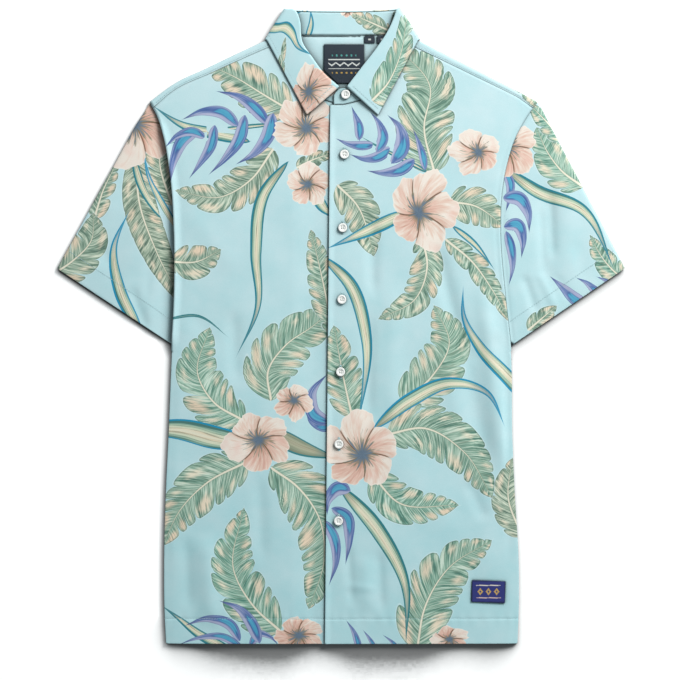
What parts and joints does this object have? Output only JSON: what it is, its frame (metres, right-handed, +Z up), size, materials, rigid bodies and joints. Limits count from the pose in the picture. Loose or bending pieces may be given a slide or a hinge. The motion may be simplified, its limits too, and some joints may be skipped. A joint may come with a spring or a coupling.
{
  "type": "hawaiian shirt, laid flat",
  "caption": "Short-sleeved hawaiian shirt in printed light aqua cotton, buttoned up and laid flat on its back, with its sides tucked in behind.",
  "frame": {"origin": "centre of the laid shirt's outline, on the surface it lies on", "axes": "+Z up out of the shirt's front, +Y from the hem to the collar, +X to the right of someone looking down at the front"},
  "size_m": [0.695, 0.7801, 0.01],
  "materials": {
    "printed_cotton": "matte plain-weave cotton, printed with leaves and flowers on light aqua",
    "label_weave": null,
    "button_resin": "glossy off-white polyester resin"
  },
  "bodies": {
    "root": {"front_left": "printed_cotton", "front_right": "printed_cotton", "back": "printed_cotton", "yoke": "printed_cotton", "sleeve_left": "printed_cotton", "sleeve_right": "printed_cotton", "collar_stand": "printed_cotton", "collar_fall": "printed_cotton", "neck_label": "label_weave", "size_tab_1": "label_weave", "size_tab_2": "label_weave", "hem_label": "label_weave", "button_1": "button_resin", "button_2": "button_resin", "button_3": "button_resin", "button_4": "button_resin", "button_5": "button_resin", "button_6": "button_resin", "button_7": "button_resin"}
  },
  "joints": []
}
